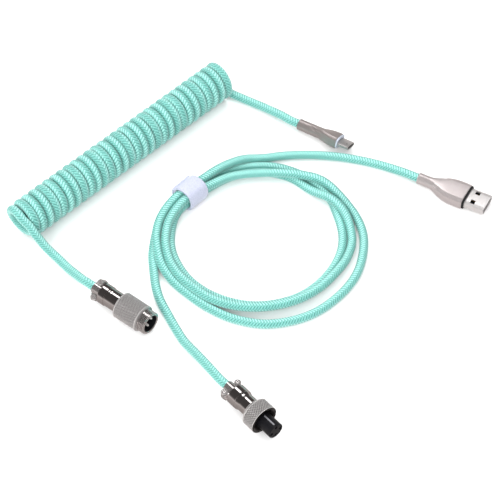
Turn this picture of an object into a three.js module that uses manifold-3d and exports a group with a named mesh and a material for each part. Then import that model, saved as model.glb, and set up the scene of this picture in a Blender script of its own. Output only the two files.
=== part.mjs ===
// Coiled USB cable for a mechanical keyboard, in its two unmated halves.
//
// The keyboard half runs from a male aviator connector through a short lead and a coil to a USB-C
// plug. The host half runs from a female aviator connector through three tied loops to a USB-A plug.
// Both lie on a table. Lengths are millimetres, +Z is up, and the origin is on the table under the
// middle of the connectors. Each connector is drawn in its own axes, with +X along the cable towards
// the mating end and its datum face at x = 0, and is then placed by a group.

import * as THREE from 'three';
import { mergeVertices } from 'three/addons/utils/BufferGeometryUtils.js';
import Module from 'manifold-3d';

const wasm = await Module();
wasm.setup();

// ---------------------------------------------------------------- driving dimensions

const CORD_DIAMETER = 4.5;
const CORD_RADIUS = CORD_DIAMETER / 2;
const CORD_HOLE_RADIUS = CORD_RADIUS + 0.3;
const GAP = 0.3; // kept between solids that touch on the real cable

// Where each connector lies: its datum point, its heading in the table's plane and its roll.
const MALE_PLACE = { at: [-84.9, -25.3, 6.95], heading: -38.8, roll: 0 };
const FEMALE_PLACE = { at: [-21.1, -87.8, 7.5], heading: -48.6, roll: 0 };
const USB_C_PLACE = { at: [25.1, 87.1, 4.25], heading: -31, roll: -20 };
const USB_A_PLACE = { at: [89.7, 48.4, 3.4], heading: -28.8, roll: 0 };

const COIL = { start: [-139.8, 23.0], end: [-37.5, 127.8], radius: 10.5 };
const LOOPS = { centre: [-17, 19.5], innerRadius: 40.5, outerRadius: 56, height: 9 };
const TIE = { at: [-52.4, 48.5], heading: 48, length: 12, section: 12.6, strap: 1.4, corner: 3.6 };

// Both aviator connectors share one cord clamp and one rear barrel diameter.
const REAR = { flange: -11.8, clampEnd: -17.5, radius: 5.3, bore: 4.15, wall: 1.0 };
const CLAMP = { archRadius: 3.9, earTop: 1.3, earBottom: -2.6, split: 0.15, screwX: -14.9, screwY: 4.0 };
const SCREW_SLOT = { halfLength: 1.1, halfWidth: 0.2, depth: 0.5 };
const GRUB_SLOT = { halfLength: 0.6, halfWidth: 0.15, depth: 0.4 };
const CLAMP_SCREW = { head: 1.5, headHeight: 1.0, shank: 0.85, hole: 1.15, length: 3.4 };
const GRUB = { x: -6.0, radius: 0.8, hole: 1.1, length: 1.5, sunk: 0.1 };

// The contacts of the aviator connectors sit on one circle, a quarter turn apart.
const CONTACT_CIRCLE = 2.7;
const CONTACT_ANGLES = [0, 90, 180, 270];

const MALE = { shellRadius: 6.95, shellEnd: 14.3, noseRadius: 5.95, noseEnd: 18.9, noseBore: 4.65 };
const MALE_INSULATOR = { radius: 4.3, rear: 4.2, front: 12.4 };
const MALE_PIN = { radius: 0.6, rear: 0.5, front: 17.4, hole: 0.9 };
const MALE_BARREL = { radius: 5.0, step: -8.0, front: 3.2 };
const MALE_CLAMP = { halfWidth: 5.6, roll: 45 };

const NUT = { radius: 7.5, length: 9.0, chamfer: 0.7, lipBore: 5.05, lip: 1.8, bore: 6.1, mouth: 6.6 };
const INSERT = { rear: -3, flangeRear: 2.6, flangeFront: 4.2, front: 16.9 };
const INSERT_RADIUS = { spigot: 3.85, flange: 5.6, nose: 4.05 };
const KEY_GROOVE = { length: 5.8, width: 0.9, depth: 0.35 };
const SOCKET = { radius: 0.6, rear: -4.5, front: 15.4, hole: 0.9 };
const FEMALE_BARREL = { radius: 4.7, coneRear: -7.2, coneFront: -4.7, front: 2.3 };
const FEMALE_CLAMP = { halfWidth: 5.75, roll: 0 };

const USB_C = { length: 24.3, collar: 3.0, bore: 2.2, width: 9.6, height: 6.6, corner: 1.8, wall: 0.35 };
const USB_C_FLARE = { start: -14.7, middle: { x: -9.5, width: 7.4, height: 6.2, corner: 2.5 }, end: -4.3 };
const USB_C_BEZEL = { rear: GAP, front: 0.8, inset: 0.25, opening: [8.85, 3.0] };
const USB_C_SHELL = { width: 8.25, height: 2.4, sheet: 0.3, rear: -3, front: 7.2 };
const USB_C_CARRIER = { rear: -2, front: 6.6, slot: [6.2, 0.6], slotDepth: 5.4 };
const USB_C_BOARD = { rear: -11.5, front: -3.4, width: 4.8, thickness: 1.0 };

const USB_A = { length: 27.3, collar: 3.0, bore: 2.2, width: 14.2, height: 6.8, corner: 2.2, wall: 0.7 };
const USB_A_NECK = -20.3; // where the round collar ends and the flare starts
const USB_A_FLARE = [
  { x: -18, width: 7.2, height: 6.1, corner: 2.7 },
  { x: -15, width: 10.0, height: 6.3, corner: 2.5 },
  { x: -12, width: 12.4, height: 6.5, corner: USB_A.corner },
  { x: -8.5, width: 14.0, height: 6.7, corner: USB_A.corner },
  { x: -4, width: 14.4, height: USB_A.height, corner: USB_A.corner },
];
const USB_A_GASKET = { rear: GAP, front: 1.1, inset: 0.3, opening: [12.6, 5.1] };
const USB_A_SHELL = { width: 12, height: 4.5, sheet: 0.3, corner: 0.5, rear: -6, front: 11.9 };
const USB_A_HOLE = { size: 2.5, x: 4.9, y: 3.3 };
const USB_A_TONGUE = { rear: -5.5, front: 10.9, width: 10.8, bottom: -1.65, top: 0.05 };
const USB_A_CONTACT = { rear: 0.5, front: 9.8, width: 1.0, thickness: 0.3, y: [-3.5, -1.0, 1.0, 3.5] };
const USB_A_BOARD = { rear: -14, front: -6.8, width: 7, thickness: 1.2 };

// The cord's routes, from one end of each stretch to the other. The stretches that meet a connector
// stop short of it, and a straight run into the connector is added to them.
const KEYBOARD_LEAD_ROUTE = [
  [-127.0, 15.9, 7.0], [-124.4, 13.7, 4.6], [-121.7, 11.2, 3.0], [-118.6, 8.2, 2.3],
  [-115.5, 4.5, 2.3], [-112.2, 0.2, 3.2], [-108.6, -4.2, 4.6], [-104.8, -8.8, 6.1],
];
const USB_C_LEAD_ROUTE = [
  [-28.3, 122.1, 2.3], [-21.5, 118.0, 2.3], [-15.5, 114.3, 2.6], [-10.2, 110.3, 3.3],
  [-4.6, 106.1, 3.9],
];
const HOST_LEAD_ROUTE = [
  [-68.6, -10.5, 2.3], [-66.4, -18.6, 2.3], [-62.2, -28.0, 2.3], [-58.6, -35.6, 2.5],
  [-54.5, -43.4, 3.4], [-49.9, -50.2, 4.8], [-44.5, -58.4, 6.2],
];
const USB_A_LEAD_ROUTE = [
  [-6.5, 78.2, 2.4], [3.8, 79.0, 2.3], [11.7, 79.0, 2.3], [19.6, 78.3, 2.3], [27.0, 77.2, 2.3],
  [34.8, 75.4, 2.3], [42.1, 73.3, 2.3], [49.8, 70.4, 2.3], [56.0, 67.3, 2.7],
];

// ---------------------------------------------------------------- colours

const CHROME = { color: 0xd9dadb, metalness: 1, roughness: 0.18 };
const KNURLED = { color: 0xc4c4c6, metalness: 1, roughness: 0.35 };
const CHAMPAGNE = { color: 0xaa9b96, metalness: 1, roughness: 0.32 };
const NICKEL = { color: 0xe2e0de, metalness: 1, roughness: 0.22 };
const GOLD = { color: 0xd8b264, metalness: 1, roughness: 0.25 };
const BLACK_PLASTIC = { color: 0x17181a, metalness: 0, roughness: 0.45 };
const PALE_PLASTIC = { color: 0xc9d6e2, metalness: 0, roughness: 0.5 };
const GREEN_BOARD = { color: 0x1f6b4a, metalness: 0, roughness: 0.5 };
const MINT_BRAID = { color: 0x82e6d2, metalness: 0, roughness: 0.8 };
const TIE_CLOTH = { color: 0xdedff4, metalness: 0, roughness: 0.95 };

// ---------------------------------------------------------------- solids

function signedVolume(geometry) {
  const { position } = geometry.attributes;
  const [a, b, c] = [new THREE.Vector3(), new THREE.Vector3(), new THREE.Vector3()];
  let volume = 0;
  for (let i = 0; i < geometry.index.count; i += 3) {
    a.fromBufferAttribute(position, geometry.index.getX(i));
    b.fromBufferAttribute(position, geometry.index.getX(i + 1));
    c.fromBufferAttribute(position, geometry.index.getX(i + 2));
    volume += a.dot(b.cross(c)) / 6;
  }
  return volume;
}

// A three.js geometry as a solid that can be joined and cut.
function solid(source) {
  const geometry = source.clone();
  geometry.deleteAttribute('normal');
  geometry.deleteAttribute('uv');
  const merged = mergeVertices(geometry, 1e-4);
  const corners = Array.from(merged.index.array);
  if (signedVolume(merged) < 0) {
    corners.reverse();
  }
  return new wasm.Manifold(new wasm.Mesh({
    numProp: 3,
    vertProperties: new Float32Array(merged.attributes.position.array),
    triVerts: new Uint32Array(corners),
  }));
}

// A solid as a named mesh with its own material.
function piece(name, body, look) {
  const { vertProperties, triVerts } = body.getMesh();
  const geometry = new THREE.BufferGeometry();
  geometry.setAttribute('position', new THREE.BufferAttribute(vertProperties, 3));
  geometry.setIndex(new THREE.BufferAttribute(triVerts, 1));
  geometry.computeVertexNormals();
  const mesh = new THREE.Mesh(geometry, new THREE.MeshStandardMaterial(look));
  mesh.name = name;
  return mesh;
}

function cutAll(body, cutters) {
  return cutters.reduce((left, cutter) => left.subtract(cutter), body);
}

// A turned solid on the X axis. The outline is a list of [x, radius] that starts and ends on the
// axis or closes on itself.
function turned(outline, segments = 40) {
  const profile = outline.map(([x, radius]) => new THREE.Vector2(radius, x));
  return solid(new THREE.LatheGeometry(profile, segments).rotateZ(-Math.PI / 2));
}

// A turned sleeve: the outside from rear to front, and the bore from front to rear.
function sleeve(outside, bore, segments) {
  return turned([...outside, ...bore, outside[0]], segments);
}

function rodX(radius, x0, x1, y = 0, z = 0, segments = 16) {
  const rod = new THREE.CylinderGeometry(radius, radius, x1 - x0, segments).rotateZ(-Math.PI / 2);
  return solid(rod.translate((x0 + x1) / 2, y, z));
}

function rodZ(radius, z0, z1, x = 0, y = 0, segments = 16) {
  const rod = new THREE.CylinderGeometry(radius, radius, z1 - z0, segments).rotateX(Math.PI / 2);
  return solid(rod.translate(x, y, (z0 + z1) / 2));
}

function block([x0, x1], [y0, y1], [z0, z1]) {
  const box = new THREE.BoxGeometry(x1 - x0, y1 - y0, z1 - z0);
  return solid(box.translate((x0 + x1) / 2, (y0 + y1) / 2, (z0 + z1) / 2));
}

// Points round a rectangle with round corners, in the order that a section is walked.
function roundedRectangle(width, height, corner, stepsPerCorner = 5) {
  const points = [];
  const centres = [[1, 1], [-1, 1], [-1, -1], [1, -1]];
  centres.forEach(([sideY, sideZ], quarter) => {
    for (let i = 0; i <= stepsPerCorner; i += 1) {
      const angle = (quarter + i / stepsPerCorner) * Math.PI / 2;
      points.push([
        sideY * (width / 2 - corner) + corner * Math.cos(angle),
        sideZ * (height / 2 - corner) + corner * Math.sin(angle),
      ]);
    }
  });
  return points;
}

// A straight bar along X with a rounded-rectangle section.
function bar(width, height, corner, x0, x1) {
  const section = new THREE.Shape(
    roundedRectangle(width, height, corner).map(([y, z]) => new THREE.Vector2(y, z)),
  );
  const length = x1 - x0;
  const geometry = new THREE.ExtrudeGeometry(section, { depth: length, bevelEnabled: false });
  // The extrusion runs along Z: X and Y of the section become Y and Z, and Z becomes X.
  const turn = new THREE.Matrix4().makeBasis(
    new THREE.Vector3(0, 1, 0), new THREE.Vector3(0, 0, 1), new THREE.Vector3(1, 0, 0),
  );
  return solid(geometry.applyMatrix4(turn).translate(x0, 0, 0));
}

// A bar along X whose rounded-rectangle section changes from one station to the next.
function lofted(stations) {
  const rings = stations.map(({ x, width, height, corner }) => (
    roundedRectangle(width, height, corner).map(([y, z]) => [x, y, z])
  ));
  const around = rings[0].length;
  const corners = [];
  for (let i = 0; i < rings.length - 1; i += 1) {
    for (let j = 0; j < around; j += 1) {
      const [a, b] = [i * around + j, i * around + (j + 1) % around];
      corners.push(a, b, b + around, a, b + around, a + around);
    }
  }
  const last = (rings.length - 1) * around;
  for (let j = 1; j < around - 1; j += 1) {
    corners.push(0, j + 1, j, last, last + j, last + j + 1);
  }
  const geometry = new THREE.BufferGeometry();
  const flat = new Float32Array(rings.flat(2));
  geometry.setAttribute('position', new THREE.BufferAttribute(flat, 3));
  geometry.setIndex(corners);
  return solid(geometry);
}

// ---------------------------------------------------------------- placing

function place({ at, heading, roll }, meshes) {
  const group = new THREE.Group();
  group.position.set(...at);
  group.rotation.set(
    THREE.MathUtils.degToRad(roll), 0, THREE.MathUtils.degToRad(heading), 'ZYX',
  );
  group.add(...meshes);
  return group;
}

// The point at x on a placed connector's axis.
function onAxis({ at, heading }, x) {
  const angle = THREE.MathUtils.degToRad(heading);
  return [at[0] + x * Math.cos(angle), at[1] + x * Math.sin(angle), at[2]];
}

// ---------------------------------------------------------------- the aviator connectors' rear end

// The rear barrel with the lower half of the cord clamp, which is rolled about the cord on its own.
// The outline runs from the flange forward.
function rearBarrel(outline, { halfWidth, roll }) {
  const front = outline[outline.length - 1][0];
  const inner = REAR.flange + REAR.wall;
  const shell = sleeve(
    [[REAR.flange, CORD_HOLE_RADIUS], ...outline],
    [[front, REAR.bore], [inner, REAR.bore], [inner, CORD_HOLE_RADIUS]],
  );
  const clampX = [REAR.clampEnd, REAR.flange + REAR.wall / 2];
  const trough = rodX(CLAMP.archRadius, ...clampX, 0, 0, 32)
    .intersect(block(clampX, [-halfWidth, halfWidth], [-REAR.radius, -CLAMP.split]));
  const ears = block(clampX, [-halfWidth, halfWidth], [CLAMP.earBottom, -CLAMP.split]);
  const screwHoles = [-1, 1].map((side) => (
    rodZ(CLAMP_SCREW.hole, -REAR.radius, 0, CLAMP.screwX, side * CLAMP.screwY)
  ));
  const lowerClamp = cutAll(trough.add(ears), screwHoles).rotate([roll, 0, 0]);
  const cordWay = rodX(CORD_HOLE_RADIUS, REAR.clampEnd - 1, inner + 1, 0, 0, 32);
  const grubHole = rodZ(GRUB.hole, 0, REAR.radius + 1, GRUB.x, 0);
  return cutAll(shell.add(lowerClamp), [cordWay, grubHole]);
}

// The upper half of the clamp: an arch over the cord with a flat ear on each side.
function clampSaddle({ halfWidth, roll }) {
  const saddleX = [REAR.clampEnd, REAR.flange - GAP];
  const arch = rodX(CLAMP.archRadius, ...saddleX, 0, 0, 32)
    .intersect(block(saddleX, [-halfWidth, halfWidth], [CLAMP.split, REAR.radius]));
  const ears = block(saddleX, [-halfWidth, halfWidth], [CLAMP.split, CLAMP.earTop]);
  const screwHoles = [-1, 1].map((side) => (
    rodZ(CLAMP_SCREW.hole, 0, REAR.radius, CLAMP.screwX, side * CLAMP.screwY)
  ));
  const headSeats = [-1, 1].map((side) => (
    rodZ(CLAMP_SCREW.head + GAP, CLAMP.earTop, REAR.radius, CLAMP.screwX, side * CLAMP.screwY)
  ));
  const cordWay = rodX(CORD_HOLE_RADIUS, REAR.clampEnd - 1, REAR.flange, 0, 0, 32);
  return cutAll(arch.add(ears), [...screwHoles, ...headSeats, cordWay]).rotate([roll, 0, 0]);
}

// A screw that stands in the clamp, with a cross slot in its head.
function clampScrew(side, { roll }) {
  const y = side * CLAMP.screwY;
  const under = CLAMP.earTop + GAP;
  const top = under + CLAMP_SCREW.headHeight;
  const head = rodZ(CLAMP_SCREW.head, under, top, CLAMP.screwX, y, 24);
  const shank = rodZ(CLAMP_SCREW.shank, under - CLAMP_SCREW.length, under + GAP, CLAMP.screwX, y);
  const { halfLength, halfWidth, depth } = SCREW_SLOT;
  const slots = [[halfLength, halfWidth], [halfWidth, halfLength]].map(([reachX, reachY]) => block(
    [CLAMP.screwX - reachX, CLAMP.screwX + reachX],
    [y - reachY, y + reachY],
    [top - depth, top + 1],
  ));
  return cutAll(head.add(shank), slots).rotate([roll, 0, 0]);
}

function grubScrew(barrelRadius) {
  const top = barrelRadius - GRUB.sunk;
  const { halfLength, halfWidth, depth } = GRUB_SLOT;
  const slot = block(
    [GRUB.x - halfLength, GRUB.x + halfLength], [-halfWidth, halfWidth], [top - depth, top + 1],
  );
  return rodZ(GRUB.radius, top - GRUB.length, top, GRUB.x, 0).subtract(slot);
}

function rearPieces(side, barrelRadius, clamp) {
  return [
    piece(`${side}_clamp_saddle`, clampSaddle(clamp), CHROME),
    piece(`${side}_clamp_screw_1`, clampScrew(-1, clamp), CHROME),
    piece(`${side}_clamp_screw_2`, clampScrew(1, clamp), CHROME),
    piece(`${side}_grub_screw`, grubScrew(barrelRadius), KNURLED),
  ];
}

function onContactCircle(angle) {
  const radians = THREE.MathUtils.degToRad(angle);
  return [CONTACT_CIRCLE * Math.cos(radians), CONTACT_CIRCLE * Math.sin(radians)];
}

function contactHoles(radius, x0, x1) {
  return CONTACT_ANGLES.map((angle) => rodX(radius, x0, x1, ...onContactCircle(angle)));
}

// ---------------------------------------------------------------- male aviator connector

function maleFrontShell() {
  const chamfer = 0.4;
  const groove = { length: 0.6, radius: 5.5 };
  const barrelBore = MALE_BARREL.radius + GAP;
  return sleeve(
    [
      [0, barrelBore],
      [0, MALE.shellRadius - chamfer],
      [chamfer, MALE.shellRadius],
      [MALE.shellEnd - chamfer, MALE.shellRadius],
      [MALE.shellEnd, MALE.shellRadius - chamfer],
      [MALE.shellEnd, groove.radius],
      [MALE.shellEnd + groove.length, groove.radius],
      [MALE.shellEnd + groove.length, MALE.noseRadius],
      [MALE.noseEnd, MALE.noseRadius],
    ],
    [
      [MALE.noseEnd, MALE.noseBore],
      [MALE_BARREL.front + GAP, MALE.noseBore],
      [MALE_BARREL.front + GAP, barrelBore],
    ],
    48,
  );
}

function maleInsulator() {
  const { radius, rear, front } = MALE_INSULATOR;
  const keyway = { length: 4, halfWidth: 0.8, depth: 0.5 };
  const body = rodX(radius, rear, front, 0, 0, 40);
  const key = block(
    [front - keyway.length, front + 1],
    [-keyway.halfWidth, keyway.halfWidth],
    [radius - keyway.depth, radius + 1],
  );
  return cutAll(body, [...contactHoles(MALE_PIN.hole, rear - 1, front + 1), key]);
}

function malePin(angle) {
  const { radius, rear, front } = MALE_PIN;
  const tip = 0.5;
  const [y, z] = onContactCircle(angle);
  const outline = [
    [rear, 0], [rear, radius], [front - tip, radius], [front - tip / 4, radius * 0.6], [front, 0],
  ];
  return turned(outline, 16).translate([0, y, z]);
}

function maleBarrel() {
  const { radius, step, front } = MALE_BARREL;
  return rearBarrel(
    [[REAR.flange, REAR.radius], [step, REAR.radius], [step, radius], [front, radius]],
    MALE_CLAMP,
  );
}

const maleConnector = place(MALE_PLACE, [
  piece('male_front_shell', maleFrontShell(), KNURLED),
  piece('male_insulator', maleInsulator(), BLACK_PLASTIC),
  ...CONTACT_ANGLES.map((angle, i) => piece(`male_pin_${i + 1}`, malePin(angle), GOLD)),
  piece('male_barrel', maleBarrel(), CHROME),
  ...rearPieces('male', MALE_BARREL.radius, MALE_CLAMP),
]);

// ---------------------------------------------------------------- female aviator connector

function couplingNut() {
  const { radius, length, chamfer, lipBore, lip, bore, mouth } = NUT;
  const mouthDepth = mouth - bore;
  return sleeve(
    [
      [0, lipBore], [0, radius - chamfer], [chamfer, radius],
      [length - chamfer, radius], [length, radius - chamfer],
    ],
    [[length, mouth], [length - mouthDepth, bore], [lip, bore], [lip, lipBore]],
    48,
  );
}

function femaleInsert() {
  const { rear, flangeRear, flangeFront, front } = INSERT;
  const { spigot, flange, nose } = INSERT_RADIUS;
  const body = turned([
    [rear, 0], [rear, spigot], [flangeRear, spigot], [flangeRear, flange], [flangeFront, flange],
    [flangeFront, nose], [front, nose], [front, 0],
  ]);
  const groove = block(
    [front - KEY_GROOVE.length, front + 1],
    [-KEY_GROOVE.width / 2, KEY_GROOVE.width / 2],
    [nose - KEY_GROOVE.depth, nose + 1],
  );
  return cutAll(body, [...contactHoles(SOCKET.hole, rear - 1, front + 1), groove]);
}

// A contact tube that is open at its front end.
function femaleSocket(angle) {
  const { radius, rear, front } = SOCKET;
  const bore = { radius: 0.4, depth: 5 };
  const [y, z] = onContactCircle(angle);
  return rodX(radius, rear, front, y, z)
    .subtract(rodX(bore.radius, front - bore.depth, front + 1, y, z, 12));
}

function femaleBarrel() {
  const { radius, coneRear, coneFront, front } = FEMALE_BARREL;
  return rearBarrel(
    [[REAR.flange, REAR.radius], [coneRear, REAR.radius], [coneFront, radius], [front, radius]],
    FEMALE_CLAMP,
  );
}

// The radius that the cone has where the grub screw stands.
const FEMALE_GRUB_RADIUS = THREE.MathUtils.mapLinear(
  GRUB.x, FEMALE_BARREL.coneRear, FEMALE_BARREL.coneFront, REAR.radius, FEMALE_BARREL.radius,
);

const femaleConnector = place(FEMALE_PLACE, [
  piece('female_barrel', femaleBarrel(), CHROME),
  piece('female_insert', femaleInsert(), BLACK_PLASTIC),
  ...CONTACT_ANGLES.map((angle, i) => piece(`female_socket_${i + 1}`, femaleSocket(angle), GOLD)),
  piece('female_coupling_nut', couplingNut(), KNURLED),
  ...rearPieces('female', FEMALE_GRUB_RADIUS, FEMALE_CLAMP),
]);

// ---------------------------------------------------------------- USB-C plug

function usbCHousing() {
  const { length, collar, bore, width, height, corner, wall } = USB_C;
  const { start, middle, end } = USB_C_FLARE;
  const round = { width: 2 * collar, height: 2 * collar, corner: collar };
  const full = { width, height, corner };
  const outside = lofted([
    { x: -length, ...round }, { x: start, ...round }, middle, { x: end, ...full }, { x: 0, ...full },
  ]);
  const neck = { width: 2 * bore, height: 2 * bore, corner: bore };
  const room = { width: width - 2 * wall, height: height - 2 * wall, corner: corner - wall };
  const inside = lofted([{ x: start, ...neck }, { x: end, ...room }, { x: 1, ...room }]);
  return cutAll(outside, [inside, rodX(bore, -length - 1, start + 1, 0, 0, 24)]);
}

function usbCBezel() {
  const { rear, front, inset, opening } = USB_C_BEZEL;
  const { width, height, corner } = USB_C;
  const plate = bar(width - 2 * inset, height - 2 * inset, corner - inset, rear, front);
  return plate.subtract(bar(...opening, opening[1] / 2 - 0.01, rear - 1, front + 1));
}

function usbCShell() {
  const { width, height, sheet, rear, front } = USB_C_SHELL;
  const round = height / 2 - 0.01;
  return bar(width, height, round, rear, front)
    .subtract(bar(width - 2 * sheet, height - 2 * sheet, round - sheet, rear - 1, front + 1));
}

function usbCContactCarrier() {
  const { rear, front, slot, slotDepth } = USB_C_CARRIER;
  const clear = 2 * (USB_C_SHELL.sheet + GAP);
  const [width, height] = [USB_C_SHELL.width - clear, USB_C_SHELL.height - clear];
  return bar(width, height, height / 2 - 0.01, rear, front)
    .subtract(bar(...slot, slot[1] / 2 - 0.01, front - slotDepth, front + 1));
}

function flatBoard({ rear, front, width, thickness }) {
  return block([rear, front], [-width / 2, width / 2], [-thickness / 2, thickness / 2]);
}

const usbCPlug = place(USB_C_PLACE, [
  piece('usb_c_housing', usbCHousing(), CHAMPAGNE),
  piece('usb_c_bezel', usbCBezel(), PALE_PLASTIC),
  piece('usb_c_shell', usbCShell(), NICKEL),
  piece('usb_c_contact_carrier', usbCContactCarrier(), BLACK_PLASTIC),
  piece('usb_c_board', flatBoard(USB_C_BOARD), GREEN_BOARD),
]);

// ---------------------------------------------------------------- USB-A plug

function usbAHousing() {
  const { length, collar, bore, width, height, corner, wall } = USB_A;
  const round = { width: 2 * collar, height: 2 * collar, corner: collar };
  const front = { x: 0, width, height, corner };
  const outside = lofted([
    { x: -length, ...round }, { x: USB_A_NECK, ...round }, ...USB_A_FLARE, front,
  ]);
  const inside = lofted([
    { x: USB_A_NECK, width: 2 * bore, height: 2 * bore, corner: bore },
    ...[...USB_A_FLARE, front, { ...front, x: 1 }].map((station) => ({
      x: station.x,
      width: station.width - 2 * wall,
      height: station.height - 2 * wall,
      corner: station.corner - wall,
    })),
  ]);
  return cutAll(outside, [inside, rodX(bore, -length - 1, USB_A_NECK + 1, 0, 0, 24)]);
}

function usbAGasket() {
  const { rear, front, inset, opening } = USB_A_GASKET;
  const plate = bar(USB_A.width - 2 * inset, USB_A.height - 2 * inset, USB_A.corner - inset, rear, front);
  return plate.subtract(bar(...opening, 0.8, rear - 1, front + 1));
}

// The folded steel shell, with the two square holes in its top that a socket's springs catch.
function usbAShell() {
  const { width, height, sheet, corner, rear, front } = USB_A_SHELL;
  const { size, x, y } = USB_A_HOLE;
  const tube = bar(width, height, corner, rear, front)
    .subtract(bar(width - 2 * sheet, height - 2 * sheet, corner - sheet, rear - 1, front + 1));
  const holes = [-1, 1].map((side) => block(
    [x - size / 2, x + size / 2],
    [side * y - size / 2, side * y + size / 2],
    [0, height],
  ));
  return cutAll(tube, holes);
}

function usbATongue() {
  const { rear, front, width, bottom, top } = USB_A_TONGUE;
  return block([rear, front], [-width / 2, width / 2], [bottom, top]);
}

function usbAContact(y) {
  const { rear, front, width, thickness } = USB_A_CONTACT;
  const bottom = USB_A_TONGUE.top + GAP;
  return block([rear, front], [y - width / 2, y + width / 2], [bottom, bottom + thickness]);
}

const usbAPlug = place(USB_A_PLACE, [
  piece('usb_a_housing', usbAHousing(), CHAMPAGNE),
  piece('usb_a_gasket', usbAGasket(), BLACK_PLASTIC),
  piece('usb_a_shell', usbAShell(), NICKEL),
  piece('usb_a_tongue', usbATongue(), BLACK_PLASTIC),
  ...USB_A_CONTACT.y.map((y, i) => piece(`usb_a_contact_${i + 1}`, usbAContact(y), GOLD)),
  piece('usb_a_board', flatBoard(USB_A_BOARD), GREEN_BOARD),
]);

// ---------------------------------------------------------------- the cord

// A plain tube along a route, with a step every two to three diameters.
function cordTube(route) {
  const sides = 10;
  const stepLength = 2.2 * CORD_DIAMETER;
  const points = route.map((point) => new THREE.Vector3(...point));
  const path = new THREE.CatmullRomCurve3(points, false, 'centripetal');
  const section = new THREE.Shape(
    Array.from({ length: sides }, (_, i) => {
      const angle = (i / sides) * 2 * Math.PI;
      return new THREE.Vector2(CORD_RADIUS * Math.cos(angle), CORD_RADIUS * Math.sin(angle));
    }),
  );
  const steps = Math.round(path.getLength() / stepLength);
  return solid(new THREE.ExtrudeGeometry(section, { steps, bevelEnabled: false, extrudePath: path }));
}

// A route that ends in a straight run into the rear of a connector.
function leadInto(route, connectorPlace, rear) {
  const straightRun = 5;
  return cordTube([
    ...route, onAxis(connectorPlace, rear - GAP - straightRun), onAxis(connectorPlace, rear - GAP),
  ]);
}

// The coil's outer shape: one fat tube that lies on the table.
function coilBody() {
  const { start, end, radius } = COIL;
  const [dx, dy] = [end[0] - start[0], end[1] - start[1]];
  const degrees = THREE.MathUtils.radToDeg(Math.atan2(dy, dx));
  return rodX(radius, 0, Math.hypot(dx, dy), 0, 0, 32)
    .rotate([0, 0, degrees])
    .translate([start[0], start[1], radius]);
}

function inTie(body) {
  return body.rotate([0, 0, TIE.heading]).translate([TIE.at[0], TIE.at[1], TIE.section / 2]);
}

// The three loops as one ring, narrowed to the tied bundle where the tie goes round it.
function loopsBody() {
  const { centre, innerRadius, outerRadius, height } = LOOPS;
  const corner = 1.5;
  const clear = 15; // beyond the ring's section on every side
  const neckOverlap = 2;
  const ring = new THREE.LatheGeometry([
    [innerRadius + corner, 0], [outerRadius - corner, 0], [outerRadius, corner],
    [outerRadius, height - corner], [outerRadius - corner, height],
    [innerRadius + corner, height], [innerRadius, height - corner], [innerRadius, corner],
    [innerRadius + corner, 0],
  ].map(([radius, y]) => new THREE.Vector2(radius, y)), 64).rotateX(Math.PI / 2);
  const bundle = TIE.section - 2 * TIE.strap - 2 * GAP;
  const notchHalf = TIE.length / 2 + 2 * GAP;
  const notch = inTie(block([-notchHalf, notchHalf], [-clear, clear], [-clear, clear]));
  const neckEnd = notchHalf + neckOverlap;
  const neck = inTie(bar(bundle, bundle, TIE.corner - TIE.strap - GAP, -neckEnd, neckEnd));
  return solid(ring.translate(centre[0], centre[1], 0)).subtract(notch).add(neck);
}

function tieBody() {
  const { length, section, strap, corner } = TIE;
  const opening = section - 2 * strap;
  const band = bar(section, section, corner, -length / 2, length / 2)
    .subtract(bar(opening, opening, corner - strap, -length, length));
  return inTie(band);
}

const cord = new THREE.Group();
cord.add(
  piece('keyboard_lead', leadInto(KEYBOARD_LEAD_ROUTE, MALE_PLACE, REAR.clampEnd), MINT_BRAID),
  piece('coil', coilBody(), MINT_BRAID),
  piece('usb_c_lead', leadInto(USB_C_LEAD_ROUTE, USB_C_PLACE, -USB_C.length), MINT_BRAID),
  piece('host_lead', leadInto(HOST_LEAD_ROUTE, FEMALE_PLACE, REAR.clampEnd), MINT_BRAID),
  piece('loops', loopsBody(), MINT_BRAID),
  piece('usb_a_lead', leadInto(USB_A_LEAD_ROUTE, USB_A_PLACE, -USB_A.length), MINT_BRAID),
  piece('cable_tie', tieBody(), TIE_CLOTH),
);

const cable = new THREE.Group();
cable.add(maleConnector, femaleConnector, usbCPlug, usbAPlug, cord);

export default cable;
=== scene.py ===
"""The coiled two-part USB cable with its aviator connectors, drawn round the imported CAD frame.

Shapes are drawn in millimetres. A connector's shapes use its own axes, with +X along the cable
towards the mating end and the datum face at x = 0, and are then placed in the frame in metres.
"""

import math

import bmesh
import bpy
import numpy as np
from mathutils import Matrix, Vector


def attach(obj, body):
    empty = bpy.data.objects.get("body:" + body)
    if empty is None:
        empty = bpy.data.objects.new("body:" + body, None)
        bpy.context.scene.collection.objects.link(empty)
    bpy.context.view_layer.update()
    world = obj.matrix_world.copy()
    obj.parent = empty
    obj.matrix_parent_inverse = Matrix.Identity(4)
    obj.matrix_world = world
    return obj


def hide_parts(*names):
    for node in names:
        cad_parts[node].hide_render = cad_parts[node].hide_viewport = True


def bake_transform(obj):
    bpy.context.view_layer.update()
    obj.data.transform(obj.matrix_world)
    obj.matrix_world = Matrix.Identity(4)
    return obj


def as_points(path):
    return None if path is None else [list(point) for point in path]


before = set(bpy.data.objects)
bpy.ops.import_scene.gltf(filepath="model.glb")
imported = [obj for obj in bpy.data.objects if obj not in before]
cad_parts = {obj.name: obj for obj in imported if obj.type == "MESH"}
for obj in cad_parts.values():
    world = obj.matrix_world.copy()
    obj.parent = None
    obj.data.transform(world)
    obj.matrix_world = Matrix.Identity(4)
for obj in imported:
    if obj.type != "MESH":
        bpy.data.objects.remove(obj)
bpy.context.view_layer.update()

MM = 0.001

# ---------- where things lie, in millimetres

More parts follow.
